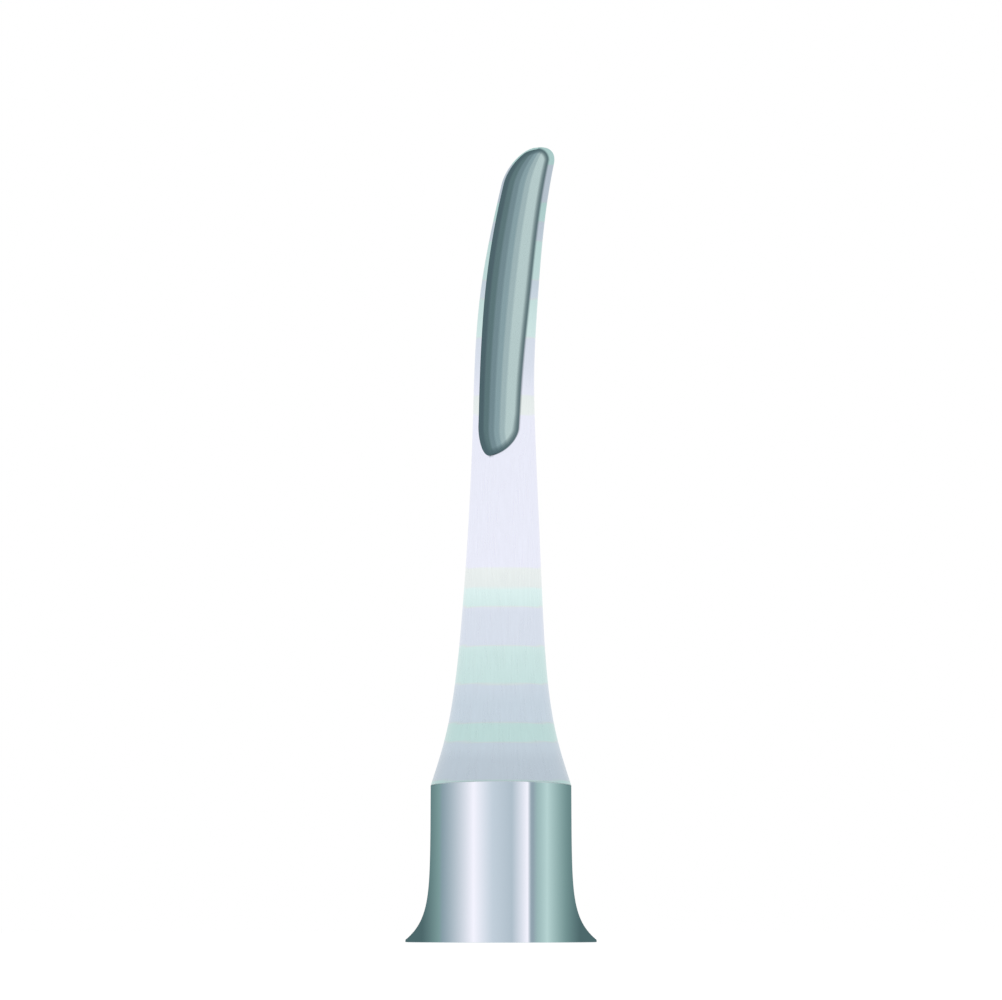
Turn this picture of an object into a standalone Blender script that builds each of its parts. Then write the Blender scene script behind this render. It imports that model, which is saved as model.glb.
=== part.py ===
"""Working end of a root elevator, a dental hand instrument.

A hardened steel blade and shank, forged and ground in one piece, stands in a turned steel collar.
Its tang fills the collar's bore, and its round shoulder sits flush on the collar's top face. The
blade bends sideways, and a flute is ground into its face, so that the end is a shallow gouge.

Metres, +Z up. The origin is the centre of the collar's base, and the fluted face looks along -Y.
"""

import math
from typing import NamedTuple

import bmesh
import bpy
import numpy as np

MM = 0.001

# Facets round every circle, a multiple of four so that each circle's box is square.
SIDES = 56
FLUTE_FACETS = 12

# The collar, from its base up: the flange's lip, the hollow flare and the straight neck. Over each
# FLARE_FALL of height, the flare's spread falls to 1 / e of itself.
NECK_RADIUS = 4.0 * MM
FLARE_SPREAD = 1.37 * MM
FLARE_FALL = 1.1 * MM
FLANGE_LIP = 0.14 * MM
FLARE_HEIGHT = 6.09 * MM
NECK_HEIGHT = 2.5 * MM
FLARE_FACETS = 13
EDGE_BREAK = 0.05 * MM

FLANGE_RADIUS = NECK_RADIUS + FLARE_SPREAD
COLLAR_HEIGHT = FLANGE_LIP + FLARE_HEIGHT + NECK_HEIGHT

# The tang, the bore that it fills, and the joint under the shoulder.
TANG_RADIUS = 2.2 * MM
TANG_FIT = 0.02 * MM
TANG_RECESS = 0.1 * MM
TANG_CHAMFER = 0.25 * MM
BORE_CHAMFER = 0.3 * MM
JOINT_GAP = 0.02 * MM

# Lengths of the stretches up the shank and the blade, from the shoulder to the tip.
SWELL_LENGTH = 2.63 * MM
THROAT_LENGTH = 3.43 * MM
SHANK_LENGTH = 4.85 * MM
HEEL_LENGTH = 8.02 * MM
BLADE_LENGTH = 4.89 * MM
BELLY_LENGTH = 5.05 * MM
NOSE_LENGTH = 6.48 * MM
TIP_LENGTH = 2.8 * MM

SWELL_RISE = SWELL_LENGTH
THROAT_RISE = SWELL_RISE + THROAT_LENGTH
SHANK_RISE = THROAT_RISE + SHANK_LENGTH
HEEL_RISE = SHANK_RISE + HEEL_LENGTH
BLADE_RISE = HEEL_RISE + BLADE_LENGTH
BELLY_RISE = BLADE_RISE + BELLY_LENGTH
NOSE_RISE = BELLY_RISE + NOSE_LENGTH
TIP_RISE = NOSE_RISE + TIP_LENGTH

# Half widths across the face, at the upper end of each stretch.
SWELL_HALF_WIDTH = 3.22 * MM
THROAT_HALF_WIDTH = 2.645 * MM
SHANK_HALF_WIDTH = 2.275 * MM
HEEL_HALF_WIDTH = 1.895 * MM
BLADE_HALF_WIDTH = 1.77 * MM
BELLY_HALF_WIDTH = 1.723 * MM
NOSE_HALF_WIDTH = 1.468 * MM
TIP_HALF_WIDTH = 1.409 * MM

# How far the fluted face and the rounded back stand from the centre plane, at the same places.
SWELL_FACE = 2.95 * MM
SWELL_BACK = 3.0 * MM
THROAT_FACE = 2.2 * MM
THROAT_BACK = 2.35 * MM
SHANK_FACE = 1.65 * MM
SHANK_BACK = 1.9 * MM
HEEL_FACE = 1.08 * MM
HEEL_BACK = 1.55 * MM
BLADE_FACE = 0.88 * MM
BLADE_BACK = 1.38 * MM
BELLY_FACE = 0.7 * MM
BELLY_BACK = 1.15 * MM
NOSE_FACE = 0.38 * MM
NOSE_BACK = 0.6 * MM
TIP_FACE = 0.07 * MM
TIP_BACK = 0.07 * MM

# Squareness of a section: 2 is an ellipse, and more is flatter with tighter corners.
ROUND = 2.0
FACE_SQUARENESS = 4.0
BACK_SQUARENESS = 1.9

# The shank's small sideways set, and the bend of the blade towards +X from a little above the heel.
SHANK_SET = 0.19 * MM
BEND_START = 3.41 * MM
BEND_RADIUS = 69.0 * MM

# The nose: a short flat apex to the right of the centreline, a long slope down to the left of it
# and a small round corner on the right.
APEX_SHIFT = 0.399 * MM
APEX_HALF_WIDTH = 0.13 * MM
LEFT_NOSE_LENGTH = 2.4 * MM
RIGHT_NOSE_LENGTH = 1.02 * MM

# The lands, the strips of the face that the flute leaves at its sides and below the apex.
LEFT_LAND = 0.33 * MM
LEFT_LAND_AT_TIP = 0.125 * MM
LEFT_LAND_TAPER_START = 5.86 * MM
LEFT_LAND_TAPER_LENGTH = 12.0 * MM
RIGHT_LAND = 1.16 * MM
RIGHT_LAND_AT_TIP = 0.42 * MM
RIGHT_LAND_FALL = 2.5
APEX_LAND = 0.13 * MM

# The flute: its depth, how it runs out at the heel, and its slanted round ends.
FLUTE_DEPTH = 0.58 * MM
FLUTE_DEPTH_AT_TIP = 0.2 * MM
FLUTE_DEPTH_AT_HEEL = 0.32 * MM
FLUTE_RUNOUT = 4.0 * MM
FLUTE_FOOT_SHIFT = 0.88 * MM
FLUTE_TOP_SHIFT = 0.12 * MM
END_SQUARENESS = 1.7
LEFT_FOOT_LENGTH = 1.56 * MM
RIGHT_FOOT_LENGTH = 1.52 * MM
LEFT_TOP_LENGTH = 0.25 * MM
RIGHT_TOP_LENGTH = 0.75 * MM

# Rows of facets up the shank, the flute's foot, the blade, the nose and the apex.
SHANK_ROWS = 16
FOOT_ROWS = 7
BLADE_ROWS = 16
NOSE_ROWS = 13
APEX_ROWS = 2
SHANK_ROW_CROWDING = 1.35
RIM_PULL = 4

# Finishes, as linear colour.
SATIN_STEEL = (0.66, 0.70, 0.78, 1.0)
GROUND_STEEL = (0.20, 0.28, 0.29, 1.0)
POLISHED_STEEL = (0.56, 0.62, 0.68, 1.0)
SHARP_EDGE = math.radians(28)


class Station(NamedTuple):
    """One station of the shank or blade: its height above the shoulder, and the section there."""

    rise: float
    half_width: float
    face: float
    back: float


STATIONS = (
    Station(0.0, NECK_RADIUS, NECK_RADIUS, NECK_RADIUS),
    Station(SWELL_RISE, SWELL_HALF_WIDTH, SWELL_FACE, SWELL_BACK),
    Station(THROAT_RISE, THROAT_HALF_WIDTH, THROAT_FACE, THROAT_BACK),
    Station(SHANK_RISE, SHANK_HALF_WIDTH, SHANK_FACE, SHANK_BACK),
    Station(HEEL_RISE, HEEL_HALF_WIDTH, HEEL_FACE, HEEL_BACK),
    Station(BLADE_RISE, BLADE_HALF_WIDTH, BLADE_FACE, BLADE_BACK),
    Station(BELLY_RISE, BELLY_HALF_WIDTH, BELLY_FACE, BELLY_BACK),
    Station(NOSE_RISE, NOSE_HALF_WIDTH, NOSE_FACE, NOSE_BACK),
    Station(TIP_RISE, TIP_HALF_WIDTH, TIP_FACE, TIP_BACK),
)


def ease(share):
    """Smooth step from 0 to 1, with no jump in slope or curvature."""
    share = min(1.0, max(0.0, share))
    return share**3 * (10 - 15 * share + 6 * share**2)


def between(start, end, share):
    """The value at a share of the way from start to end."""
    return start + (end - start) * share


def spline_through(stations):
    """A natural cubic spline through the stations' sizes, as a function of the rise."""
    rises = np.array([station.rise for station in stations])
    sizes = np.array([station[1:] for station in stations])
    gaps = np.diff(rises)
    count = len(rises)
    system = np.eye(count)
    turns = np.zeros_like(sizes)
    for i in range(1, count - 1):
        system[i, i - 1 : i + 2] = gaps[i - 1], 2 * (gaps[i - 1] + gaps[i]), gaps[i]
        turns[i] = 6 * ((sizes[i + 1] - sizes[i]) / gaps[i] - (sizes[i] - sizes[i - 1]) / gaps[i - 1])
    bends = np.linalg.solve(system, turns)

    def sizes_at(rise):
        i = int(np.clip(np.searchsorted(rises, rise) - 1, 0, count - 2))
        gap = gaps[i]
        up = rise - rises[i]
        down = rises[i + 1] - rise
        from_below = (sizes[i] / gap - bends[i] * gap / 6) * down + bends[i] * down**3 / (6 * gap)
        from_above = (sizes[i + 1] / gap - bends[i + 1] * gap / 6) * up + bends[i + 1] * up**3 / (6 * gap)
        return [float(size) for size in from_below + from_above]

    return sizes_at


station_sizes_at = spline_through(STATIONS)


class Section(NamedTuple):
    """The section of the shank or blade at one height."""

    half_width: float
    face: float
    back: float
    face_squareness: float
    back_squareness: float


def section_at(rise):
    """The section at a height: round on the collar, and flatter in its face towards the blade."""
    to_heel = ease((rise - SWELL_RISE) / (HEEL_RISE - SWELL_RISE))
    face_squareness = between(ROUND, FACE_SQUARENESS, to_heel)
    back_squareness = between(ROUND, BACK_SQUARENESS, to_heel)
    return Section(*station_sizes_at(rise), face_squareness, back_squareness)


def round_end(distance, length, squareness=ROUND):
    """Share of the full width, at a distance from a quarter-superellipse end of that length."""
    left = 1 - min(1.0, max(0.0, distance / length))
    return (1 - left**squareness) ** (1 / squareness)


def centre_x(rise):
    """Sideways place of the centreline: a small set along the shank, then the blade's bend."""
    bend = max(0.0, rise - HEEL_RISE - BEND_START)
    return SHANK_SET * ease(rise / HEEL_RISE) + bend**2 / (2 * BEND_RADIUS)


APEX_X = centre_x(TIP_RISE) + APEX_SHIFT
FLUTE_FOOT_X = centre_x(HEEL_RISE) - FLUTE_FOOT_SHIFT
FLUTE_TOP_X = APEX_X - FLUTE_TOP_SHIFT
FLUTE_TOP = TIP_RISE - APEX_LAND


def silhouette(rise):
    """Left and right edge of the whole blade at a height, the nose's outline included."""
    middle = centre_x(rise)
    half_width = section_at(rise).half_width
    to_tip = TIP_RISE - rise
    apex_left = APEX_X - APEX_HALF_WIDTH
    apex_right = APEX_X + APEX_HALF_WIDTH
    left = between(apex_left, middle - half_width, round_end(to_tip, LEFT_NOSE_LENGTH))
    right = between(apex_right, middle + half_width, round_end(to_tip, RIGHT_NOSE_LENGTH))
    return left, right


def along_flute(rise):
    """Share of the way from the flute's foot to its top."""
    return min(1.0, max(0.0, (rise - HEEL_RISE) / (FLUTE_TOP - HEEL_RISE)))


def flute_axis(rise):
    """Sideways place of the straight line that joins the two ends of the flute."""
    return between(FLUTE_FOOT_X, FLUTE_TOP_X, along_flute(rise))


def flute_edges(rise):
    """Left and right rim of the flute: the blade's sides less its lands, drawn in to a point at each end.

    The left rim keeps to the nose's long slope, and the right one makes a round corner of its own.
    """
    to_taper_end = (rise - HEEL_RISE - LEFT_LAND_TAPER_START) / LEFT_LAND_TAPER_LENGTH
    left_land = between(LEFT_LAND, LEFT_LAND_AT_TIP, ease(to_taper_end))
    right_land = between(RIGHT_LAND_AT_TIP, RIGHT_LAND, (1 - along_flute(rise)) ** RIGHT_LAND_FALL)
    from_foot = rise - HEEL_RISE
    to_top = FLUTE_TOP - rise
    left_foot = round_end(from_foot, LEFT_FOOT_LENGTH, END_SQUARENESS)
    right_foot = round_end(from_foot, RIGHT_FOOT_LENGTH, END_SQUARENESS)
    right_top = round_end(to_top, RIGHT_TOP_LENGTH, END_SQUARENESS)
    axis = flute_axis(rise)
    left_side = silhouette(rise)[0]
    right_side = centre_x(rise) + section_at(rise).half_width
    left = between(axis, left_side + left_land, left_foot * round_end(to_top, LEFT_TOP_LENGTH))
    right = between(axis, right_side - right_land, right_foot * right_top)
    return left, right


def power(value, exponent):
    """Signed power, for the quarter turns of a superellipse."""
    return math.copysign(abs(value) ** exponent, value)


def section_point(rise, angle):
    """A point of the plain section, by its angle from +X. The face is at -90 degrees."""
    section = section_at(rise)
    left, right = silhouette(rise)
    depth, squareness = section.back, section.back_squareness
    if math.sin(angle) < 0:
        depth, squareness = section.face, section.face_squareness
    across = power(math.cos(angle), 2 / squareness)
    x = (left + right) / 2 + (right - left) / 2 * across
    return x, depth * power(math.sin(angle), 2 / squareness), rise


def angle_at(rise, x):
    """The angle at which the face of a section has this x."""
    left, right = silhouette(rise)
    across = max(-1.0, min(1.0, (2 * x - left - right) / (right - left)))
    return -math.acos(power(across, section_at(rise).face_squareness / 2))


def seam_angle(rise):
    """The angle of the line up the face that meets both ends of the flute."""
    if rise < HEEL_RISE:
        return between(-math.pi / 2, angle_at(HEEL_RISE, FLUTE_FOOT_X), ease(rise / HEEL_RISE))
    return angle_at(rise, flute_axis(rise))


def is_fluted(rise):
    return HEEL_RISE < rise < FLUTE_TOP


def outline_angles(rise):
    """A row's angles, from the right rim round the back to the left rim or, with no flute, all round.

    They start evenly spaced from the seam. Each rim then pulls its own side over, less and less
    towards the back, so that the facets there stay in line from row to row.
    """
    seam = seam_angle(rise)
    shares = [i / SIDES for i in range(SIDES + 1)]
    if not is_fluted(rise):
        return [seam + 2 * math.pi * share for share in shares[:-1]]
    left, right = flute_edges(rise)
    to_right = angle_at(rise, right) - seam
    to_left = seam - angle_at(rise, left)
    return [
        seam + 2 * math.pi * share + to_right * (1 - share) ** RIM_PULL - to_left * share**RIM_PULL
        for share in shares
    ]


def flute_depth(rise):
    """Depth of the flute in the middle: full along the blade, and shallow at both of its ends."""
    left, right = flute_edges(rise)
    full_width = 2 * section_at(rise).half_width - LEFT_LAND - RIGHT_LAND_AT_TIP
    depth = between(FLUTE_DEPTH, FLUTE_DEPTH_AT_TIP, along_flute(rise) ** 3)
    runout = ease((rise - HEEL_RISE) / FLUTE_RUNOUT)
    return between(FLUTE_DEPTH_AT_HEEL, depth, runout) * min(1.0, (right - left) / full_width)


def flute_point(rise, share, left_rim, right_rim):
    """A point of the hollow between the two rims: a parabola across the chord."""
    hollow = flute_depth(rise) * 4 * share * (1 - share)
    x = between(left_rim[0], right_rim[0], share)
    y = between(left_rim[1], right_rim[1], share) + hollow
    return x, y, rise


def row_heights():
    """Heights of the loft's rows, closer together where the outline turns fast."""
    quarter = math.pi / 2
    foot_end = HEEL_RISE + RIGHT_FOOT_LENGTH
    nose_start = TIP_RISE - LEFT_NOSE_LENGTH
    shank = [between(0.0, HEEL_RISE, (i / SHANK_ROWS) ** SHANK_ROW_CROWDING) for i in range(SHANK_ROWS)]
    foot = [between(foot_end, HEEL_RISE, math.cos(quarter * i / FOOT_ROWS)) for i in range(FOOT_ROWS)]
    blade = [between(foot_end, nose_start, i / BLADE_ROWS) for i in range(BLADE_ROWS)]
    nose = [between(nose_start, FLUTE_TOP, math.sin(quarter * i / NOSE_ROWS)) for i in range(NOSE_ROWS)]
    apex = [between(FLUTE_TOP, TIP_RISE, i / APEX_ROWS) for i in range(APEX_ROWS + 1)]
    return shank + foot + blade + nose + apex


def loft_row(mesh, rise):
    """One row of the loft: the plain outline from rim to rim, and the points across the flute."""
    outline = [mesh.verts.new(section_point(rise, angle)) for angle in outline_angles(rise)]
    if not is_fluted(rise):
        return [*outline, outline[0]], [outline[0]] * (FLUTE_FACETS + 1)
    left_rim, right_rim = outline[-1], outline[0]
    hollow = [
        mesh.verts.new(flute_point(rise, i / FLUTE_FACETS, left_rim.co, right_rim.co))
        for i in range(1, FLUTE_FACETS)
    ]
    return outline, [left_rim, *hollow, right_rim]


def skin(mesh, lower, upper, material_index=0):
    """Faces between two rows, dropping a corner wherever a row has drawn in to a point."""
    for i in range(len(lower) - 1):
        corners = []
        for corner in (lower[i], lower[i + 1], upper[i + 1], upper[i]):
            if corner not in corners:
                corners.append(corner)
        if len(corners) > 2:
            mesh.faces.new(corners).material_index = material_index


def ring(mesh, radius, height):
    """A circle's corners, starting at the front and turning towards +X."""
    angles = [2 * math.pi * i / SIDES - math.pi / 2 for i in range(SIDES)]
    corners = [mesh.verts.new((radius * math.cos(a), radius * math.sin(a), height)) for a in angles]
    return [*corners, corners[0]]


def add_tang(mesh, shoulder):
    """The shoulder and the round tang below it, down to its chamfered end."""
    length = COLLAR_HEIGHT + JOINT_GAP - TANG_RECESS
    rows = [
        ring(mesh, TANG_RADIUS - TANG_CHAMFER, -length),
        ring(mesh, TANG_RADIUS, TANG_CHAMFER - length),
        ring(mesh, TANG_RADIUS, 0.0),
        shoulder,
    ]
    for lower, upper in zip(rows, rows[1:]):
        skin(mesh, lower, upper)
    mesh.faces.new(reversed(rows[0][:-1]))


def steel(name, colour, roughness):
    """A bare steel finish."""
    material = bpy.data.materials.new(name)
    material.use_nodes = True
    shader = material.node_tree.nodes["Principled BSDF"]
    shader.inputs["Base Color"].default_value = colour
    shader.inputs["Metallic"].default_value = 1.0
    shader.inputs["Roughness"].default_value = roughness
    return material


def add_object(name, mesh, materials, height=0.0):
    """Puts a finished mesh into the scene, smooth apart from its sharp edges."""
    data = bpy.data.meshes.new(name)
    mesh.to_mesh(data)
    mesh.free()
    for material in materials:
        data.materials.append(material)
    data.shade_smooth()
    data.set_sharp_from_angle(angle=SHARP_EDGE)
    piece = bpy.data.objects.new(name, data)
    piece.location.z = height
    bpy.context.scene.collection.objects.link(piece)


def make_blade_and_shank():
    """The forged piece: tang, shoulder, tapering shank, bent blade and ground flute."""
    mesh = bmesh.new()
    rows = [loft_row(mesh, rise) for rise in row_heights()]
    for (outline, hollow), (next_outline, next_hollow) in zip(rows, rows[1:]):
        skin(mesh, outline, next_outline)
        skin(mesh, hollow, next_hollow, material_index=1)
    mesh.faces.new(rows[-1][0][:-1])
    add_tang(mesh, rows[0][0])
    finishes = [steel("satin_steel", SATIN_STEEL, 0.32), steel("ground_steel", GROUND_STEEL, 0.28)]
    add_object("blade_and_shank", mesh, finishes, height=COLLAR_HEIGHT + JOINT_GAP)


def flare_point(share):
    """A point of the flare as (radius, height), closer together towards the lip, where it turns fast."""
    climb = FLARE_HEIGHT * share**2
    end = math.exp(-FLARE_HEIGHT / FLARE_FALL)
    spread = FLARE_SPREAD * (math.exp(-climb / FLARE_FALL) - end) / (1 - end)
    return NECK_RADIUS + spread, FLANGE_LIP + climb


def collar_profile():
    """The collar's half section as (radius, height), up the outside and down the bore."""
    bore_radius = TANG_RADIUS + TANG_FIT
    return [
        (bore_radius + BORE_CHAMFER, 0.0),
        (FLANGE_RADIUS - EDGE_BREAK, 0.0),
        (FLANGE_RADIUS, EDGE_BREAK),
        *[flare_point(i / FLARE_FACETS) for i in range(FLARE_FACETS + 1)],
        (NECK_RADIUS, COLLAR_HEIGHT - EDGE_BREAK),
        (NECK_RADIUS - EDGE_BREAK, COLLAR_HEIGHT),
        (bore_radius, COLLAR_HEIGHT),
        (bore_radius, BORE_CHAMFER),
    ]


def make_collar():
    """The turned collar: its half section carried round the axis."""
    mesh = bmesh.new()
    rows = [ring(mesh, radius, height) for radius, height in collar_profile()]
    for lower, upper in zip(rows, [*rows[1:], rows[0]]):
        skin(mesh, lower, upper)
    add_object("collar", mesh, [steel("polished_steel", POLISHED_STEEL, 0.12)])


def main():
    for leftover in list(bpy.data.objects):
        bpy.data.objects.remove(leftover)
    make_collar()
    make_blade_and_shank()


main()
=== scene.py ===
"""The looks of a root elevator's working end: a fluted steel blade standing in a polished collar.

Metres, +Z up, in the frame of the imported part: the origin is the centre of the collar's base, the
fluted face looks along -Y and the blade bends towards +X.
"""

import math

import bmesh
import bpy
import numpy as np
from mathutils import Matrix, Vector


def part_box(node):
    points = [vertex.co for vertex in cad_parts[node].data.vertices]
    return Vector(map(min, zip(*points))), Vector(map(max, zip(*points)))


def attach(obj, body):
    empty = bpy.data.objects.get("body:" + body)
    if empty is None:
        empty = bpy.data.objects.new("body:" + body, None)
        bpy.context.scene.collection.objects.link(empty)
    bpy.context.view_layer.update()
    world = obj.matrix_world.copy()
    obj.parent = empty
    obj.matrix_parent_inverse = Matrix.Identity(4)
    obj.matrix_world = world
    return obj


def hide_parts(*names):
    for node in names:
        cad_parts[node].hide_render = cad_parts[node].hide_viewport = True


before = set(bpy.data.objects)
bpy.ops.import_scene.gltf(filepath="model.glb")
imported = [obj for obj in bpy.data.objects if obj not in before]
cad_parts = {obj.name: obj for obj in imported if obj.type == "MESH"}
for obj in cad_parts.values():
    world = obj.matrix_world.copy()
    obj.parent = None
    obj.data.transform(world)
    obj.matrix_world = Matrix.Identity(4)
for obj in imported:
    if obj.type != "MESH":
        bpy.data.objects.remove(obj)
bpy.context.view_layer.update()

# Collar. One ring turned from stainless bar: a straight neck that flares into a thin flange, bored
# for the blade's tang. The outside is polished until only very fine turning marks are left.

MM = 0.001
NECK_RADIUS = 4.0 * MM
FLARE_SPREAD = 1.37 * MM
FLARE_FALL = 1.1 * MM
FLARE_HEIGHT = 6.09 * MM
FLANGE_RADIUS = NECK_RADIUS + FLARE_SPREAD
FLANGE_LIP = 0.14 * MM
EDGE_BREAK = 0.012 * MM
EDGE_STRIP = 0.006 * MM
BORE_RADIUS = 2.22 * MM
BORE_CHAMFER = 0.3 * MM
FLARE_POINTS = 72
EDGE_POINTS = 7
COLLAR_SIDES = 240

WELD = 1e-4 * MM
SHARP_EDGE = math.radians(24)

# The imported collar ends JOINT_GAP under the blade's shoulder, and its finished skin a hairline under it.
JOINT_GAP = 0.02 * MM
HAIRLINE = 0.004 * MM
SHOULDER_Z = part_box("collar")[1].z + JOINT_GAP

COLLAR_STEEL = "cfd8dd"

# The turning marks: their pitch up the collar, the way over which they change sideways, the spread of
# their noise, and the roughness and the strength and depth of relief that it gives.
TURNING_PITCH = 0.11 * MM
TURNING_REACH = 50 * MM
TURNING_SPREAD = (0.35, 0.65)
TURNING_GLOSS = (0.045, 0.085)
TURNING_STRENGTH = 0.25
TURNING_DEPTH = 0.0012 * MM


def coded(tone):
    """A colour as coded red, green and blue from 0 to 1, from its six hexadecimal digits."""
    return np.array([int(tone[i : i + 2], 16) for i in (0, 2, 4)]) / 255


def light_of(colour):
    """Coded red, green and blue as amounts of light: ((c + 0.055) / 1.055)^2.4 above the dark toe."""
    return np.where(colour > 0.04045, ((colour + 0.055) / 1.055) ** 2.4, colour / 12.92)


def linear(tone):
    """A colour as linear red, green, blue and alpha, from its six hexadecimal digits."""
    return [*light_of(coded(tone)).tolist(), 1.0]


def grid_mesh(name, points, rows_close=False):
    """A skin over a grid of points, rows by columns, where every row closes on itself.

    The quad of row i and column j joins points (i, j), (i, j + 1), (i + 1, j + 1) and (i + 1, j).
    Points that lie together are welded, so a row that has drawn in to one point closes a pole.
    """
    rows, columns = points.shape[:2]
    index = np.arange(rows * columns).reshape(rows, columns)
    if rows_close:
        index = np.vstack([index, index[:1]])
    beside = np.roll(index, -1, axis=1)
    quads = np.stack([index[:-1], beside[:-1], beside[1:], index[1:]], axis=-1).reshape(-1, 4)
    mesh = bpy.data.meshes.new(name)
    mesh.from_pydata(points.reshape(-1, 3).tolist(), [], quads.tolist())
    return mesh


def weld(mesh):
    """Joins the points of a mesh that lie together, and drops the faces that had no area."""
    welded = bmesh.new()
    welded.from_mesh(mesh)
    bmesh.ops.remove_doubles(welded, verts=welded.verts, dist=WELD)
    welded.to_mesh(mesh)
    welded.free()


def add_piece(name, mesh, materials, node):
    """Puts a finished skin in place of a solid, smooth apart from its sharp edges."""
    weld(mesh)
    for material in materials:
        mesh.materials.append(material)
    mesh.shade_smooth()
    mesh.set_sharp_from_angle(angle=SHARP_EDGE)
    piece = bpy.data.objects.new(name, mesh)
    bpy.context.scene.collection.objects.link(piece)
    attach(piece, "root")
    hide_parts(node)


def flare_curve():
    """The hollow flare from the lip up: radius, height, and how far its surface leans back.

    The radius is neck + spread e^(-climb / FLARE_FALL), less the little that would be left at its top.
    """
    climb = FLARE_HEIGHT * np.linspace(0, 1, FLARE_POINTS) ** 2
    end = math.exp(-FLARE_HEIGHT / FLARE_FALL)
    fall = FLARE_SPREAD * np.exp(-climb / FLARE_FALL) / (1 - end)
    return NECK_RADIUS + fall - fall[-1], FLANGE_LIP + climb, np.arctan(fall / FLARE_FALL)


def collar_outline():
    """The half section as radius and height, up the outside and down the bore.

    Each broken edge is a quarter circle, and a narrow strip beside it keeps its smooth shading off the
    long outside. The top face lies a hairline under the blade's shoulder.
    """
    top = SHOULDER_Z - HAIRLINE
    flare_radius, flare_height, _ = flare_curve()
    quarter = np.linspace(0, math.pi / 2, EDGE_POINTS)
    out, up = EDGE_BREAK * np.sin(quarter), EDGE_BREAK * (1 - np.cos(quarter))
    return np.concatenate([
        [[BORE_RADIUS + BORE_CHAMFER, 0.0]],
        np.stack([FLANGE_RADIUS - EDGE_BREAK + out, up], axis=1),
        [[FLANGE_RADIUS, EDGE_BREAK + EDGE_STRIP]],
        np.stack([flare_radius, flare_height], axis=1),
        [[NECK_RADIUS, top - EDGE_BREAK - EDGE_STRIP]],
        np.stack([NECK_RADIUS - up, top - EDGE_BREAK + out], axis=1),
        [[BORE_RADIUS, top], [BORE_RADIUS, BORE_CHAMFER]],
    ])


def turned(outline, sides):
    """A half section carried round the axis: (radius sin a, -radius cos a, height) for a full turn of a."""
    turn = np.linspace(0, 2 * math.pi, sides, endpoint=False)
    radius, height = outline[:, :1], outline[:, 1:]
    return np.stack([radius * np.sin(turn), -radius * np.cos(turn), height + 0 * turn], axis=-1)


def add_node(tree, kind, inputs=(), **settings):
    """A shader node with its inputs set to values or linked to other nodes' outputs."""
    node = tree.nodes.new(kind)
    for name, value in settings.items():
        setattr(node, name, value)
    for key, value in dict(inputs).items():
        if isinstance(value, bpy.types.NodeSocket):
            tree.links.new(value, node.inputs[key])
        else:
            node.inputs[key].default_value = value
    return node


def new_steel(name):
    """A material with a bare steel shader, and its tree and shader."""
    material = bpy.data.materials.new(name)
    material.use_nodes = True
    shader = material.node_tree.nodes["Principled BSDF"]
    shader.inputs["Metallic"].default_value = 1.0
    return material, material.node_tree, shader


def stretched_to(tree, amount, spread, low, high):
    """An amount with its spread stretched to run from low to high, and held to that range."""
    return add_node(tree, "ShaderNodeMapRange", {
        "Value": amount, "From Min": spread[0], "From Max": spread[1], "To Min": low, "To Max": high,
    }).outputs["Result"]


def roughen(tree, shader, lines, spread, gloss, strength, depth):
    """Lets fine lines touch a steel's roughness, from one end of its gloss to the other, and its relief."""
    relief = add_node(tree, "ShaderNodeBump", {"Height": lines, "Strength": strength, "Distance": depth})
    tree.links.new(stretched_to(tree, lines, spread, *gloss), shader.inputs["Roughness"])
    tree.links.new(relief.outputs["Normal"], shader.inputs["Normal"])


def polished_steel():
    """Polished steel with turning marks: streaks that run round the collar and change mostly with height."""
    material, tree, shader = new_steel("polished_steel")
    place = add_node(tree, "ShaderNodeTexCoord").outputs["Object"]
    rate = (1 / TURNING_REACH, 1 / TURNING_REACH, 1 / TURNING_PITCH)
    stretched = add_node(tree, "ShaderNodeMapping", {"Vector": place, "Scale": rate})
    marks = add_node(tree, "ShaderNodeTexNoise", {
        "Vector": stretched.outputs["Vector"], "Scale": 1.0, "Detail": 3.0, "Roughness": 0.6,
    }).outputs["Fac"]
    shader.inputs["Base Color"].default_value = linear(COLLAR_STEEL)
    roughen(tree, shader, marks, TURNING_SPREAD, TURNING_GLOSS, TURNING_STRENGTH, TURNING_DEPTH)
    return material


collar_mesh = grid_mesh("collar_turned", turned(collar_outline(), COLLAR_SIDES), rows_close=True)
add_piece("collar_turned", collar_mesh, [polished_steel()], "collar")

# Blade and shank. One piece of hardened stainless steel, forged to a round shoulder that narrows into
# the shank and then into a blade bent to one side. The satin outside carries painted light and shade in
# level bands of lavender and mint. The flute is ground into the face and left bare, with painted shading
# across it: dark at its left wall and light towards its right.

TANG_RADIUS = 2.2 * MM
TANG_CHAMFER = 0.25 * MM

# Each station up the shank and blade: its rise above the shoulder, half width, face and back, in mm.
STATIONS = np.array([
    (0.0, 4.0, 4.0, 4.0),
    (2.63, 3.22, 2.95, 3.0),
    (6.06, 2.645, 2.2, 2.35),
    (10.91, 2.275, 1.65, 1.9),
    (18.93, 1.895, 1.08, 1.55),
    (23.82, 1.77, 0.88, 1.38),
    (28.87, 1.723, 0.7, 1.15),
    (35.35, 1.468, 0.38, 0.6),
    (38.15, 1.409, 0.07, 0.07),
]) * MM
SWELL_RISE = STATIONS[1, 0]
HEEL_RISE = STATIONS[4, 0]
TIP_RISE = STATIONS[-1, 0]

# The squareness of the sections, the sideways set and bend, and the nose's two round ends.
ROUND = 2.0
FACE_SQUARENESS = 4.0
BACK_SQUARENESS = 1.9
SHANK_SET = 0.17 * MM
BEND_START = 3.41 * MM
BEND_RADIUS = 69.0 * MM
APEX_SHIFT = 0.399 * MM
APEX_HALF_WIDTH = 0.13 * MM
LEFT_NOSE_LENGTH = 2.4 * MM
RIGHT_NOSE_LENGTH = 1.02 * MM

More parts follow.
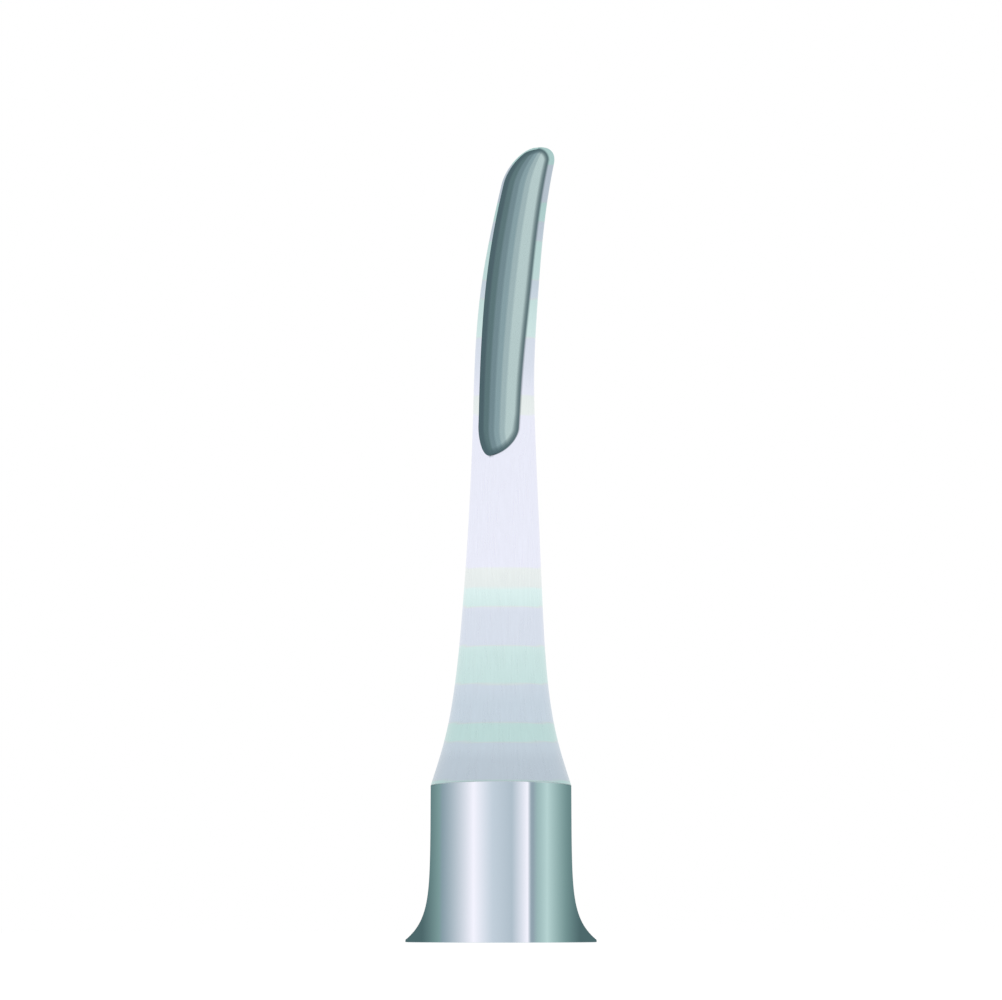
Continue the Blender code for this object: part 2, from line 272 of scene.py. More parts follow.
# The lands beside the flute, its depth along the blade, and its round ends at the foot and the top.
LEFT_LAND = 0.345 * MM
LEFT_LAND_AT_TIP = 0.135 * MM
LEFT_LAND_TAPER_START = 5.86 * MM
LEFT_LAND_TAPER_LENGTH = 12.0 * MM
RIGHT_LAND = 1.14 * MM
RIGHT_LAND_AT_TIP = 0.4 * MM
RIGHT_LAND_FALL = 2.5
APEX_LAND = 0.13 * MM
FLUTE_TOP = TIP_RISE - APEX_LAND
FOOT_ABOVE_HEEL = 0.045 * MM
FLUTE_FOOT = HEEL_RISE + FOOT_ABOVE_HEEL
FLUTE_DEPTH = 0.58 * MM
FLUTE_DEPTH_AT_TIP = 0.2 * MM
FLUTE_DEPTH_AT_HEEL = 0.32 * MM
FLUTE_RUNOUT = 4.0 * MM
FLUTE_FOOT_SHIFT = 0.86 * MM
FLUTE_TOP_SHIFT = 0.12 * MM
END_SQUARENESS = 1.7
LEFT_FOOT_LENGTH = 1.85 * MM
RIGHT_FOOT_LENGTH = 1.66 * MM
LEFT_TOP_LENGTH = 0.25 * MM
RIGHT_TOP_LENGTH = 0.75 * MM
RIM_PULL = 4

# Rows up the piece, and columns beside the right rim, round the outside and across the flute.
TANG_ROWS = 4
SHANK_ROWS = 150
FOOT_ROWS = 36
BLADE_ROWS = 124
NOSE_ROWS = 64
APEX_ROWS = 5
RIM_COLUMNS = 5
RIM_COLUMN_WIDTH = 0.04 * MM
SIDES = 112
FLUTE_COLUMNS = 48

# The flute's facets, each a pass of the wheel: where they meet, as shares of the way across.
FACET_EDGES = (0.0, 0.12, 0.255, 0.39, 0.525, 0.66, 1.0)
FACET_FLATNESS = 0.6


def ease(share):
    """Smooth step from 0 to 1: 10 s^3 - 15 s^4 + 6 s^5 of the share, held to that range."""
    share = np.clip(share, 0, 1)
    return share**3 * (10 - 15 * share + 6 * share**2)


def between(start, end, share):
    """The value at a share of the way from start to end."""
    return start + (end - start) * share


def station_sizes(rise):
    """Half width, face and back at each rise: the natural cubic spline through the stations.

    The spline's second derivative at each station solves a linear system, and each gap's cubic follows
    from the sizes and the second derivatives at its two ends.
    """
    rises, sizes = STATIONS[:, 0], STATIONS[:, 1:]
    gaps = np.diff(rises)
    slopes = np.diff(sizes, axis=0) / gaps[:, None]
    system = np.diag(np.concatenate([[1], 2 * (gaps[:-1] + gaps[1:]), [1]]))
    system += np.diag(np.concatenate([[0], gaps[1:]]), 1) + np.diag(np.concatenate([gaps[:-1], [0]]), -1)
    bends = np.linalg.solve(system, np.pad(6 * np.diff(slopes, axis=0), ((1, 1), (0, 0))))
    i = np.clip(np.searchsorted(rises, rise) - 1, 0, len(gaps) - 1)
    gap = gaps[i][:, None]
    up = (rise - rises[i])[:, None]
    down = gap - up
    from_below = (sizes[i] / gap - bends[i] * gap / 6) * down + bends[i] * down**3 / (6 * gap)
    from_above = (sizes[i + 1] / gap - bends[i + 1] * gap / 6) * up + bends[i + 1] * up**3 / (6 * gap)
    return (from_below + from_above).T


def round_end(distance, length, squareness=ROUND):
    """Share of the full width at a distance from a round end: (1 - (1 - d / length)^s)^(1 / s)."""
    return (1 - (1 - np.clip(distance / length, 0, 1)) ** squareness) ** (1 / squareness)


def centre_x(rise):
    """Sideways place of the centreline: the shank's eased set, then rise^2 / 2 R along the bend."""
    bend = np.maximum(0, rise - HEEL_RISE - BEND_START)
    return SHANK_SET * ease(rise / HEEL_RISE) + bend**2 / (2 * BEND_RADIUS)


def row_rises():
    """Rises of the rows, even along the shank and blade and crowded by a sine at the flute's ends."""
    quarter = math.pi / 2
    foot_end = FLUTE_FOOT + RIGHT_FOOT_LENGTH
    nose_start = TIP_RISE - LEFT_NOSE_LENGTH
    shank = np.linspace(0, FLUTE_FOOT, SHANK_ROWS, endpoint=False)
    foot = between(foot_end, FLUTE_FOOT, np.cos(np.linspace(0, quarter, FOOT_ROWS, endpoint=False)))
    blade = np.linspace(foot_end, nose_start, BLADE_ROWS, endpoint=False)
    nose = between(nose_start, FLUTE_TOP, np.sin(np.linspace(0, quarter, NOSE_ROWS, endpoint=False)))
    apex = np.linspace(FLUTE_TOP, TIP_RISE, APEX_ROWS)
    return np.concatenate([shank, foot, blade, nose, apex])


rise = row_rises()
half_width, face, back = station_sizes(rise)
to_heel = ease((rise - SWELL_RISE) / (HEEL_RISE - SWELL_RISE))
face_squareness = between(ROUND, FACE_SQUARENESS, to_heel)
back_squareness = between(ROUND, BACK_SQUARENESS, to_heel)

# The silhouette: the centreline less and plus the half width, drawn in to the apex by two round ends.
apex_x = centre_x(TIP_RISE) + APEX_SHIFT
left_nose = round_end(TIP_RISE - rise, LEFT_NOSE_LENGTH)
right_nose = round_end(TIP_RISE - rise, RIGHT_NOSE_LENGTH)
left_side = between(apex_x - APEX_HALF_WIDTH, centre_x(rise) - half_width, left_nose)
right_side = between(apex_x + APEX_HALF_WIDTH, centre_x(rise) + half_width, right_nose)

# The flute's rims: the blade's sides less its lands, drawn in to the flute's axis at the foot and top.
# Below and above the flute both rims lie on the axis, so the hollow has drawn in to one line.
along_flute = np.clip((rise - FLUTE_FOOT) / (FLUTE_TOP - FLUTE_FOOT), 0, 1)
foot_x = centre_x(HEEL_RISE) - FLUTE_FOOT_SHIFT
flute_axis = between(foot_x, apex_x - FLUTE_TOP_SHIFT, along_flute)
to_taper_end = (rise - HEEL_RISE - LEFT_LAND_TAPER_START) / LEFT_LAND_TAPER_LENGTH
left_land = between(LEFT_LAND, LEFT_LAND_AT_TIP, ease(to_taper_end))
right_land = between(RIGHT_LAND_AT_TIP, RIGHT_LAND, (1 - along_flute) ** RIGHT_LAND_FALL)
from_foot = rise - FLUTE_FOOT
to_top = FLUTE_TOP - rise
left_foot = round_end(from_foot, LEFT_FOOT_LENGTH)
right_foot = round_end(from_foot, RIGHT_FOOT_LENGTH, END_SQUARENESS)
left_reach = left_foot * round_end(to_top, LEFT_TOP_LENGTH)
right_reach = right_foot * round_end(to_top, RIGHT_TOP_LENGTH, END_SQUARENESS)
left_rim_x = between(flute_axis, left_side + left_land, left_reach)
right_rim_x = between(flute_axis, centre_x(rise) + half_width - right_land, right_reach)


def power(value, exponent):
    """Signed power, for the quarter turns of a superellipse."""
    return np.sign(value) * np.abs(value) ** exponent


def face_angle(x):
    """The angle from +X at which each row's face has this x: -acos of its share of the half width."""
    across = np.clip((2 * x - left_side - right_side) / (right_side - left_side), -1, 1)
    return -np.arccos(power(across, face_squareness / 2))


def outline_points(angle):
    """Points of the rows at these angles, on superellipses: cos and sin to the power 2 / squareness."""
    on_face = np.sin(angle) < 0
    depth = np.where(on_face, face[:, None], back[:, None])
    squareness = np.where(on_face, face_squareness[:, None], back_squareness[:, None])
    across = power(np.cos(angle), 2 / squareness)
    middle = (left_side + right_side)[:, None] / 2
    half = (right_side - left_side)[:, None] / 2
    x = middle + half * across
    y = depth * power(np.sin(angle), 2 / squareness)
    return np.stack([x, y, rise[:, None] + 0 * angle], axis=-1)


def row_points():
    """The rows: from the right rim round the back to the left rim, and then across the hollow.

    The first columns keep close to the right rim. The other angles are spaced evenly from the seam, and
    each rim pulls its own side over, by the share of the way round to the power RIM_PULL. The hollow is
    the chord of the rims, sunk by the depth times 4 s (1 - s), with flattened facets.
    """
    foot_seam = face_angle(np.full_like(rise, foot_x))[rise >= FLUTE_FOOT][0]
    below = rise < FLUTE_FOOT
    seam = face_angle(flute_axis)
    seam[below] = between(-math.pi / 2, foot_seam, ease(rise[below] / FLUTE_FOOT))
    seam_x = (left_side + right_side) / 2
    seam_x += (right_side - left_side) / 2 * power(np.cos(seam), 2 / face_squareness)
    rim_x = np.where(right_reach > 0, right_rim_x, seam_x)
    beside = np.stack([face_angle(rim_x + i * RIM_COLUMN_WIDTH) for i in range(RIM_COLUMNS + 1)], axis=1)
    to_right = beside[:, -1] - seam
    to_left = np.where(left_reach > 0, face_angle(flute_axis) - face_angle(left_rim_x), 0)
    share = np.linspace(0, 1, SIDES + 1)
    turn = seam[:, None] + 2 * math.pi * share
    pull = to_right[:, None] * (1 - share) ** RIM_PULL - to_left[:, None] * share**RIM_PULL
    outline = outline_points(np.concatenate([beside[:, :-1], turn + pull], axis=1))

    share = np.linspace(0, 1, FLUTE_COLUMNS + 1)[1:-1, None]
    curve = 4 * share * (1 - share)
    edges = np.array(FACET_EDGES)
    facets = np.interp(share, edges, 4 * edges * (1 - edges))
    deep = between(FLUTE_DEPTH, FLUTE_DEPTH_AT_TIP, along_flute**3)
    depth = between(FLUTE_DEPTH_AT_HEEL, deep, ease(from_foot / FLUTE_RUNOUT))
    full_width = 2 * half_width - LEFT_LAND - RIGHT_LAND_AT_TIP
    depth *= np.minimum(1, (right_rim_x - left_rim_x) / full_width)
    hollow = between(outline[:, -1:], outline[:, :1], share)
    hollow[:, :, 1] += depth[:, None] * between(curve, facets, FACET_FLATNESS)[:, 0]
    return np.concatenate([outline, hollow], axis=1)


def tang_rows():
    """Rows below the shoulder: in to the tang, down it, round its chamfer and in to the axis."""
    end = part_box("blade_and_shank")[0].z - SHOULDER_Z
    radius = np.array([0, TANG_RADIUS - TANG_CHAMFER, TANG_RADIUS, TANG_RADIUS])
    level = np.array([end, end, end + TANG_CHAMFER, 0])
    share = np.linspace(0, 1, RIM_COLUMNS + SIDES + 1)
    share = np.concatenate([share, np.ones(FLUTE_COLUMNS - 1)])
    turn = 2 * math.pi * share - math.pi / 2
    x = radius[:, None] * np.cos(turn)
    y = radius[:, None] * np.sin(turn)
    return np.stack([x, y, level[:, None] + 0 * turn], axis=-1)


body = row_points()
tip = np.broadcast_to(body[-1].mean(axis=0), body[-1:].shape)
blade_points = np.concatenate([tang_rows(), body, tip])
blade_points[..., 2] += SHOULDER_Z
blade_mesh = grid_mesh("blade_and_shank_forged", blade_points)


def add_measure(mesh, name, values):
    """Keeps one number for each point of the mesh, for its finish to read."""
    attribute = mesh.attributes.new(name, "FLOAT", "POINT")
    attribute.data.foreach_set("value", values.astype(np.float32).ravel())


# Faces across the flute take the second finish.
columns = blade_points.shape[1]
left_rim = RIM_COLUMNS + SIDES
in_flute = np.tile(np.arange(columns) >= left_rim, blade_points.shape[0] - 1)
blade_mesh.polygons.foreach_set("material_index", in_flute.astype(np.int32))

# Painted light and shade in level bands, by height above the collar's base in mm. The painted lightness
# is highest in the middle and darker towards both ends. The cast is 0 for lavender, WARM_CAST for warm
# grey and 1 for mint. A band runs a little lower on the face than on the back, by y / BAND_LEAN of its
# height. As long as that is the camera's distance, the band's edges look straight from the front.
PAINTED_LIGHTNESS = np.array((
    (9.0, 0.1), (10.2, 0.14), (10.9, 0.29), (12.3, 0.31), (12.5, 0.4), (13.4, 0.4), (14.6, 0.49),
    (16.2, 0.57), (16.9, 0.67), (18.7, 0.7), (20.1, 0.92), (21.2, 1), (30.4, 1), (31.9, 0.9),
    (33.4, 0.71), (35.4, 0.63), (38.9, 0.34), (40.8, 0.28), (41.4, 0.18), (43.5, 0.04), (46.9, 0),
))
WARM_CAST = 0.5
MINT_BANDS = np.array((
    (8.0, 9.05), (11.24, 12.32), (14.56, 16.75), (19.02, 20.13),
    (35.08, 37.47), (38.64, 41.06), (42.24, 43.43), (45.81, 48.0),
)) * MM
WARM_BANDS = np.array(((20.13, 21.3), (30.41, 31.58))) * MM
BAND_EDGE = 0.1 * MM
BAND_LEAN = 128 * MM


def in_bands(height, bands):
    """1 inside the bands and 0 outside them, with an eased edge of width BAND_EDGE."""
    above = ease((height[..., None] - bands[:, 0]) / BAND_EDGE + 0.5)
    below = ease((bands[:, 1] - height[..., None]) / BAND_EDGE + 0.5)
    return (above * below).sum(axis=-1)


height = blade_points[..., 2]
band_height = height * (1 - blade_points[..., 1] / BAND_LEAN)
cast = in_bands(band_height, MINT_BANDS) + WARM_CAST * in_bands(band_height, WARM_BANDS)
add_measure(blade_mesh, "painted_lightness", np.interp(band_height, PAINTED_LIGHTNESS[:, 0] * MM, PAINTED_LIGHTNESS[:, 1]))
add_measure(blade_mesh, "cast", cast)

# Across the flute: 0 at the left rim and 1 where the right one would be if the flute's ends were square.
# Over the foot the flute counts as wide as it is where the foot has run out. The flute's painted shading,
# dark at the left and light at the right, follows this.
share = np.linspace(0, 1, FLUTE_COLUMNS + 1)[1:-1]
full_width = np.maximum(centre_x(rise) + half_width - right_land - left_rim_x, right_rim_x - left_rim_x)
full_width[from_foot < RIGHT_FOOT_LENGTH] = full_width[from_foot >= RIGHT_FOOT_LENGTH][0]
narrowed = np.divide(right_rim_x - left_rim_x, full_width, where=full_width > 0, out=np.zeros_like(rise))
across = np.zeros(height.shape)
across[TANG_ROWS:-1, 0] = narrowed
across[TANG_ROWS:-1, left_rim + 1 :] = narrowed[:, None] * share
add_measure(blade_mesh, "across", across)

# The flute's rim: painted shade, darker over the last of the hollow, by 1 - (d / fade)^2 of the distance
# d in x and z. Beside the right rim the painted shade also reaches onto the land, by 1 - d / shade, where
# the left rim has none outside. Each is given at the foot, where the foot has run out, where the top begins
# and at the top, and is worked out for the hollow and for a few columns of the outside beside each rim.
FOOT_RIM_LENGTH = 2.6 * MM
TOP_RIM_LENGTH = 1.8 * MM
RIM_STOPS = (FLUTE_FOOT, FLUTE_FOOT + FOOT_RIM_LENGTH, FLUTE_TOP - TOP_RIM_LENGTH, FLUTE_TOP)
RIM_STRENGTH = (0.97, 0.91, 0.91, 0.94)
RIM_FADE = np.array((0.52, 0.29, 0.29, 0.24)) * MM
RIM_SHADE = np.array((0.05, 0.12, 0.12, 0.12)) * MM
NEAR_RIGHT = RIM_COLUMNS + 3
NEAR_LEFT = 14
strength, fade, shade = [
    np.interp(rise, RIM_STOPS, amounts)[:, None] for amounts in (RIM_STRENGTH, RIM_FADE, RIM_SHADE)
]
rim_rows = (along_flute > 0) & (along_flute < 1)
beside_rim = np.r_[0:NEAR_RIGHT, left_rim - NEAR_LEFT : columns]
near = body[:, beside_rim][..., [0, 2]]
left_gap, right_gap = [
    np.linalg.norm(near[:, :, None] - body[rim_rows, side][:, [0, 2]], axis=-1).min(axis=-1)
    for side in (left_rim, 0)
]
gap = np.minimum(left_gap, right_gap)
rim_shade, painted_rim_shade_inside = np.zeros(height.shape), np.zeros(height.shape)
# Painted shade on the land beside the right rim.
rim_shade[TANG_ROWS:-1, beside_rim] = strength * np.clip(1 - right_gap / shade, 0, 1)
# Painted shade inside the hollow near both rims.
painted_rim_shade_inside[TANG_ROWS:-1, beside_rim] = strength * np.clip(1 - (gap / fade) ** 2, 0, 1)
add_measure(blade_mesh, "rim_shade", rim_shade)
add_measure(blade_mesh, "painted_rim_shade_inside", painted_rim_shade_inside)

# The unrolled skin, for grain that follows the columns: the mean way round to each, and the height.
steps = np.linalg.norm(np.diff(blade_points, axis=1, append=blade_points[:, :1]), axis=-1)
around = np.pad(np.cumsum(steps.mean(axis=0)), (1, 0)) + 0 * height[:, :1]
lower = np.stack([around[:-1, :-1], around[:-1, 1:], around[1:, 1:], around[1:, :-1]], axis=-1)
upper = np.stack([height[:-1], height[:-1], height[1:], height[1:]], axis=-1)
unrolled = np.stack([lower, upper], axis=-1) / MM
blade_mesh.uv_layers.new(name="unrolled").data.foreach_set("uv", unrolled.astype(np.float32).ravel())

# Tones of the painted light and shade bands, pale and dark, with a third for lavender at one painted
# lightness between them, and tones of the painted shading across the flute's facets from dark at the left
# to light at the right, of the painted shade at its rims, and how far the facets blend.
LAVENDER_PALE = "ebedfa"
LAVENDER_MIDDLE = "c6d3de"
LAVENDER_DARK = "b5c1cc"
LAVENDER_MIDDLE_AT = 0.39
WARM_PALE = "eaf0ef"
WARM_DARK = "b2c4c8"
MINT_PALE = "e2f5f4"
MINT_DARK = "abcbc9"
FLUTE_SHADING_TONES = ("50646c", "5e777b", "738b92", "87a0a6", "9fb5b8", "b7cccc")
FLUTE_RIM_SHADE = "4f666c"
FACET_BLEND = 0.025

# The grain: the spread of its noise, its contrast in tone and the strength of its relief, and for each
# finish its lines a millimetre across and along, its roughness and its depth.
GRAIN_SPREAD = (0.3, 0.7)
GRAIN_CONTRAST = 0.02
GRAIN_STRENGTH = 0.5
SATIN_GRAIN = (14, 0.6)
SATIN_GLOSS = (0.26, 0.36)
SATIN_DEPTH = 0.0025 * MM
GROUND_GRAIN = (22, 0.8)
GROUND_GLOSS = (0.22, 0.32)
GROUND_DEPTH = 0.006 * MM


def measure(tree, name):
    """The number that the mesh keeps under this name."""
    return add_node(tree, "ShaderNodeAttribute", attribute_name=name).outputs["Fac"]


def colour_ramp(tree, amount, stops):
    """A colour that changes with an amount, through stops of position and tone."""
    node = add_node(tree, "ShaderNodeValToRGB", {"Fac": amount})
    elements = node.color_ramp.elements
    elements.remove(elements[1])
    elements[0].position, elements[0].color = stops[0][0], linear(stops[0][1])
    for position, tone in stops[1:]:
        elements.new(position).color = linear(tone)
    return node.outputs["Color"]


def mixed(tree, share, first, second, blend="MIX"):
    """Two colours mixed by a share."""
    node = add_node(tree, "ShaderNodeMix", data_type="RGBA", blend_type=blend)
    for socket, value in zip((node.inputs[0], node.inputs[6], node.inputs[7]), (share, first, second)):
        if isinstance(value, bpy.types.NodeSocket):
            tree.links.new(value, socket)
        else:
            socket.default_value = value
    return node.outputs[2]


def grain(tree, across, along):
    """Fine lines up the piece: noise on the unrolled skin, with so many a millimetre across and along."""
    skin = add_node(tree, "ShaderNodeUVMap", uv_map="unrolled").outputs["UV"]
    stretched = add_node(tree, "ShaderNodeMapping", {"Vector": skin, "Scale": (across, along, 1)})
    return add_node(tree, "ShaderNodeTexNoise", {
        "Vector": stretched.outputs["Vector"], "Scale": 1.0, "Detail": 4.0, "Roughness": 0.55,
    }, noise_dimensions="2D").outputs["Fac"]


def finish_with_grain(tree, shader, colour, lines, gloss, depth):
    """Lets the grain touch a steel's colour, roughness and relief."""
    tint = stretched_to(tree, lines, GRAIN_SPREAD, 1 - GRAIN_CONTRAST, 1 + GRAIN_CONTRAST)
    tree.links.new(mixed(tree, 1.0, colour, tint, blend="MULTIPLY"), shader.inputs["Base Color"])
    roughen(tree, shader, lines, GRAIN_SPREAD, gloss, GRAIN_STRENGTH, depth)


def satin_steel():
    """Satin steel with painted light and shade: each tone pale or dark by the painted lightness, and one of
    the three by the cast, with painted shade beside the flute's right rim.
    """
    material, tree, shader = new_steel("satin_steel")
    cast, painted_lightness = measure(tree, "cast"), measure(tree, "painted_lightness")
    lavender_stops = ((0, LAVENDER_DARK), (LAVENDER_MIDDLE_AT, LAVENDER_MIDDLE), (1, LAVENDER_PALE))
    lavender = colour_ramp(tree, painted_lightness, lavender_stops)
    warm = mixed(tree, painted_lightness, linear(WARM_DARK), linear(WARM_PALE))
    mint = mixed(tree, painted_lightness, linear(MINT_DARK), linear(MINT_PALE))
    to_warm = stretched_to(tree, cast, (0, WARM_CAST), 0, 1)
    to_mint = stretched_to(tree, cast, (WARM_CAST, 1), 0, 1)
    # Painted light and shade: the band tones, mixed by the cast.
    painted_band_tone = mixed(tree, to_warm, lavender, warm)
    plain = mixed(tree, to_mint, painted_band_tone, mint)
    colour = mixed(tree, measure(tree, "rim_shade"), plain, linear(FLUTE_RIM_SHADE))
    finish_with_grain(tree, shader, colour, grain(tree, *SATIN_GRAIN), SATIN_GLOSS, SATIN_DEPTH)
    return material


def ground_steel():
    """The bare flute with painted shading: one tone for each facet, from dark at the left to light at the
    right, and painted shade darker towards the rim.
    """
    material, tree, shader = new_steel("ground_steel")
    stops = [(0.0, FLUTE_SHADING_TONES[0])]
    for edge, tone, next_tone in zip(FACET_EDGES[1:-1], FLUTE_SHADING_TONES, FLUTE_SHADING_TONES[1:]):
        stops += [(edge - FACET_BLEND, tone), (edge + FACET_BLEND, next_tone)]
    # Painted shading: the facet tones run from dark at the left to light at the right.
    facets = colour_ramp(tree, measure(tree, "across"), stops)
    colour = mixed(tree, measure(tree, "painted_rim_shade_inside"), facets, linear(FLUTE_RIM_SHADE))
    finish_with_grain(tree, shader, colour, grain(tree, *GROUND_GRAIN), GROUND_GLOSS, GROUND_DEPTH)
    return material


blade_finish = [satin_steel(), ground_steel()]
add_piece("blade_and_shank_forged", blade_mesh, blade_finish, "blade_and_shank")

# Camera. It stands at the height of the collar's base and looks up, so that the base is seen as a
# straight line and the collar's top edge as a shallow arch.

CAMERA_DISTANCE = 128 * MM
CAMERA_HEIGHT = 0.6 * MM
CAMERA_PITCH = math.radians(10.926)
CAMERA_LENS = 80.30

camera = bpy.data.objects.new("camera", bpy.data.cameras.new("camera"))
camera.data.sensor_width = 36
camera.data.lens = CAMERA_LENS
camera.data.clip_start = 1 * MM
camera.data.clip_end = 10
camera.location = (0, -CAMERA_DISTANCE, CAMERA_HEIGHT)
camera.rotation_euler = (math.pi / 2 + CAMERA_PITCH, 0, 0)
bpy.context.scene.collection.objects.link(camera)
bpy.context.scene.camera = camera

# Studio. A white floor and a white world, soft lamps from above for the shadow, and round the collar a
# closed tent of lit paper in the shape of a bell, which shows in reflections alone: white and slate
# strips in front, teal at the sides, and one white strip behind.

# The floor takes light and glows where it is seen, and is plain paper for the light that it throws back.
FLOOR_SIZE = 3.0
FLOOR_LIT_SHARE = 0.4
FLOOR_GLOW = 0.71
FLOOR_BOUNCE = 0.8
SKY_STRENGTH = 0.75
MIDDLE = (0, 0, 20 * MM)

# Each lamp: its name, its place and width in metres, and its power in watts.
LAMPS = (
    ("key_lamp", (-0.12, -0.1, 0.22), 0.12, 0.1),
    ("fill_lamp", (0.15, -0.08, 0.2), 0.16, 0.05),
)
WHITE, SILVER, GREY, SLATE = "f4f4ff", "c2cfdb", "afbeca", "8ea1ac"
MINT, TEAL, DEEP_TEAL = "b6d3d2", "729292", "4d686b"

# The tent's strips: how far right of the collar's middle each shows, in mm as the camera sees it, and
# its tone.
TENT_STRIPS = (
    (-4.44, DEEP_TEAL), (-3.49, "7a9a9a"), (-3.3, "879da8"), (-1.55, WHITE), (-0.48, SILVER),
    (0.61, GREY), (1.5, WHITE), (1.69, "92a5b0"), (1.8, SLATE), (2.05, "9ab7b8"), (2.6, MINT),
    (3.68, TEAL), (4.47, DEEP_TEAL),
)

# How far the tent hangs from the steel: over the lip, over the neck, and over the flare as a share of
# where that hollow mirror has its focus. At the sides it comes out to the neck's reach everywhere. Its
# roof comes back to ROOF_GAP from the neck, and its skirt lies at SKIRT_HEIGHT over the floor. The front
# goes round the collar by TENT_SPAN each way.
LIP_REACH = 2 * MM
NECK_REACH = 9 * MM
FOCUS_SHARE = 0.5
SIDE_POWER = 8
ROOF_GAP = 0.5 * MM
SKIRT_HEIGHT = 0.02 * MM
TENT_SPAN = math.radians(88)
TENT_COLUMNS = 721


def grey(level):
    """A neutral colour with this much light in red, green and blue."""
    return (level, level, level, 1)


def show_apart(tree, lighting, seen, output):
    """Shows one shader to the rays that see the backdrop, and another to those that it lights.

    The rays that see it come from the camera, off metal or through glass.
    """
    path = add_node(tree, "ShaderNodeLightPath").outputs
    sees = path["Is Camera Ray"]
    for ray in ("Is Glossy Ray", "Is Transmission Ray"):
        sees = add_node(tree, "ShaderNodeMath", {0: sees, 1: path[ray]}, operation="MAXIMUM").outputs["Value"]
    either = add_node(tree, "ShaderNodeMixShader", {0: sees, 1: lighting.outputs[0], 2: seen.outputs[0]})
    tree.links.new(either.outputs[0], tree.nodes[output].inputs["Surface"])


def make_world():
    """White where it is seen, and a little dimmer as a light."""
    world = bpy.data.worlds.new("studio")
    world.use_nodes = True
    tree = world.node_tree
    tree.nodes.remove(tree.nodes["Background"])
    lighting = add_node(tree, "ShaderNodeBackground", {"Color": grey(1), "Strength": SKY_STRENGTH})
    backdrop = add_node(tree, "ShaderNodeBackground", {"Color": grey(1), "Strength": 1.0})
    show_apart(tree, lighting, backdrop, "World Output")
    bpy.context.scene.world = world


def new_paper(name):
    """A material with no shader yet, and its tree."""
    material = bpy.data.materials.new(name)
    material.use_nodes = True
    material.node_tree.nodes.remove(material.node_tree.nodes["Principled BSDF"])
    return material, material.node_tree


def floor_finish():
    """White paper. Part of what is seen glows, to meet the white world, and part takes the shadow."""
    material, tree = new_paper("white_paper")
    paper = add_node(tree, "ShaderNodeBsdfDiffuse", {"Color": grey(FLOOR_LIT_SHARE)})
    glow = add_node(tree, "ShaderNodeEmission", {"Color": grey(1), "Strength": FLOOR_GLOW})
    both = add_node(tree, "ShaderNodeAddShader", {0: paper.outputs[0], 1: glow.outputs[0]})
    plain = add_node(tree, "ShaderNodeBsdfDiffuse", {"Color": grey(FLOOR_BOUNCE)})
    show_apart(tree, plain, both, "Material Output")
    return material


def make_floor():
    """A flat sheet under the collar."""
    mesh = bpy.data.meshes.new("floor")
    half = FLOOR_SIZE / 2
    corners = [(-half, -half, 0), (half, -half, 0), (half, half, 0), (-half, half, 0)]
    mesh.from_pydata(corners, [], [(0, 1, 2, 3)])
    mesh.materials.append(floor_finish())
    floor = bpy.data.objects.new("floor", mesh)
    bpy.context.scene.collection.objects.link(floor)


def add_lamp(name, place, width, power):
    """A soft square lamp that faces the object's middle. It lights the floor, and metal doesn't see it."""
    lamp = bpy.data.lights.new(name, "AREA")
    lamp.size = width
    lamp.energy = power
    holder = bpy.data.objects.new(name, lamp)
    holder.location = place
    holder.rotation_euler = (Vector(place) - Vector(MIDDLE)).to_track_quat("Z", "Y").to_euler()
    holder.visible_glossy = False
    bpy.context.scene.collection.objects.link(holder)


def collar_rows():
    """The collar's outside in rows from the lip up: radius, height, lean, and the tent's reach over it.

    The flare has its focus at FLARE_FALL / sin 2 lean from the steel.
    """
    radius, height, lean = flare_curve()
    reach = np.minimum(NECK_REACH, FOCUS_SHARE * FLARE_FALL / np.sin(2 * lean))
    return np.concatenate([
        [(FLANGE_RADIUS, EDGE_BREAK, 0, LIP_REACH), (FLANGE_RADIUS, FLANGE_LIP, 0, LIP_REACH)],
        np.stack([radius, height, lean, reach], axis=1),
        [(NECK_RADIUS, SHOULDER_Z, 0, NECK_REACH)],
    ])


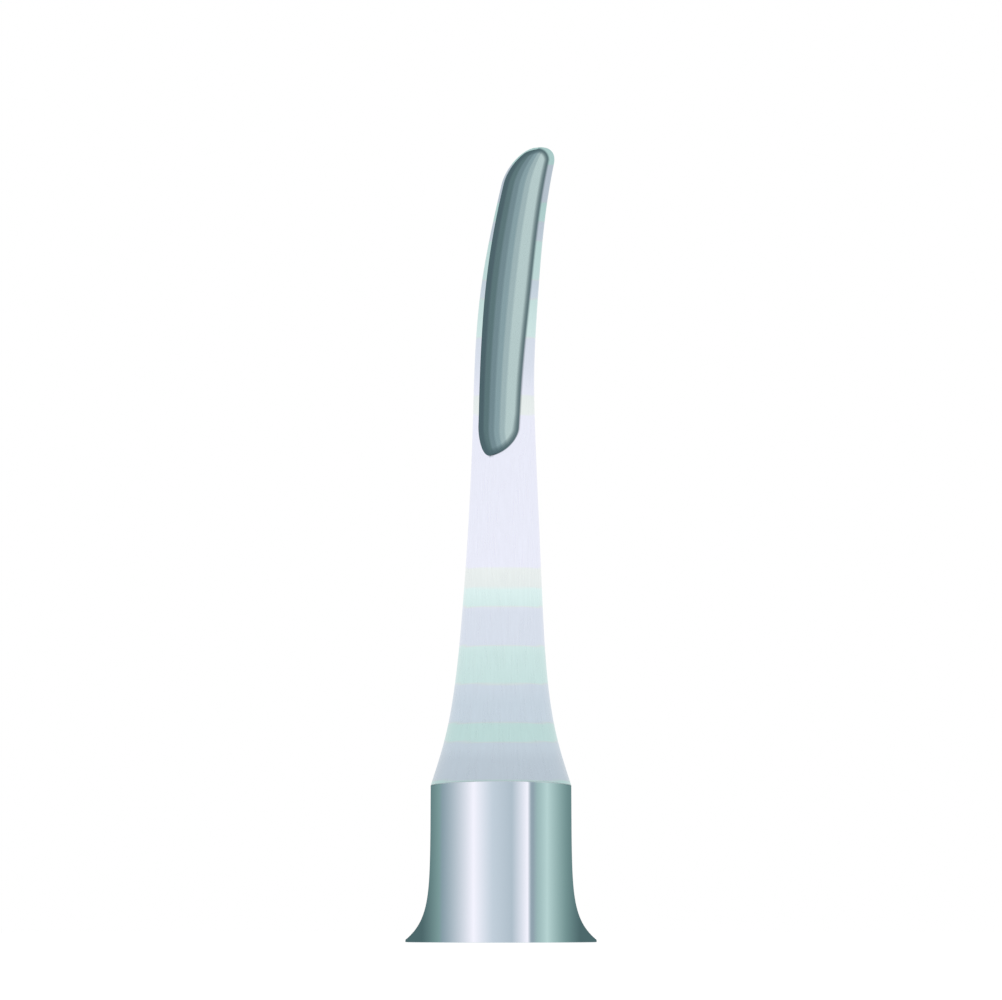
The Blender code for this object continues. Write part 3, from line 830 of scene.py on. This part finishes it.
def tent_points():
    """The tent's grid and its glow: each point hangs where the steel turns the camera's sight back.

    For a point p of the collar with normal n, seen along v, that is p + reach (v - 2 (v . n) n). The glow
    is the strip's tone over the steel's mirror share there, which is f + (1 - f) (1 - facing)^5. The first
    two rows are a skirt just over the floor, and the last is the roof's inner edge, close to the neck.
    """
    radius, height, lean, reach = collar_rows().T[..., None]
    turn = np.linspace(-TENT_SPAN, TENT_SPAN, TENT_COLUMNS)
    place = np.stack([radius * np.sin(turn), -radius * np.cos(turn), height + 0 * turn], axis=-1)
    level = np.cos(lean)
    normal = np.stack([level * np.sin(turn), -level * np.cos(turn), np.sin(lean) + 0 * turn], axis=-1)
    sight = place - np.array(camera.location)
    depth = sight @ np.array([0, math.cos(CAMERA_PITCH), math.sin(CAMERA_PITCH)])
    sight /= np.linalg.norm(sight, axis=-1, keepdims=True)
    facing = -(sight * normal).sum(axis=-1, keepdims=True)
    reach = between(reach, NECK_REACH, (turn / TENT_SPAN) ** SIDE_POWER)[..., None]
    hung = place + reach * (sight + 2 * facing * normal)
    skirt = np.stack([place[0], hung[0]])
    skirt[..., 2] = SKIRT_HEIGHT
    roof = place[-1:] + ROOF_GAP * normal[-1:]
    hung = np.concatenate([skirt, hung, roof])

    shown_at = place[..., 0] * CAMERA_DISTANCE * math.cos(CAMERA_PITCH) / depth
    strips = [(at * MM, *coded(tone)) for at, tone in TENT_STRIPS]
    at, *channels = np.array(strips).T
    tone = np.stack([np.interp(shown_at, at, channel) for channel in channels], axis=-1)
    steel = light_of(coded(COLLAR_STEEL))
    mirrored = steel + (1 - steel) * (1 - np.clip(facing, 0, 1)) ** 5
    glow = light_of(tone) / mirrored
    glow = np.concatenate([glow[:1], glow[:1], glow, glow[-1:]])

    behind = (hung[:, :1] + hung[:, -1:]) / 2
    behind_glow = np.broadcast_to(light_of(coded(WHITE)) / steel, glow[:, :1].shape)
    return np.concatenate([hung, behind], axis=1), np.concatenate([glow, behind_glow], axis=1)


def tent_finish():
    """Lit paper: the glow that each strip has, and nothing else."""
    material, tree = new_paper("tent_paper")
    strips = add_node(tree, "ShaderNodeAttribute", attribute_name="strips").outputs["Color"]
    glow = add_node(tree, "ShaderNodeEmission", {"Color": strips, "Strength": 1.0})
    tree.links.new(glow.outputs[0], tree.nodes["Material Output"].inputs["Surface"])
    return material


def make_tent():
    """The tent, which shows in reflections alone."""
    points, glow = tent_points()
    mesh = grid_mesh("tent", points)
    colours = mesh.attributes.new("strips", "FLOAT_COLOR", "POINT")
    opaque = np.pad(glow, ((0, 0), (0, 0), (0, 1)), constant_values=1)
    colours.data.foreach_set("color", opaque.astype(np.float32).ravel())
    mesh.materials.append(tent_finish())
    tent = bpy.data.objects.new("tent", mesh)
    tent.visible_camera = tent.visible_diffuse = tent.visible_shadow = False
    bpy.context.scene.collection.objects.link(tent)


make_world()
make_floor()
for lamp in LAMPS:
    add_lamp(*lamp)
make_tent()

bpy.context.scene.view_settings.view_transform = "Standard"
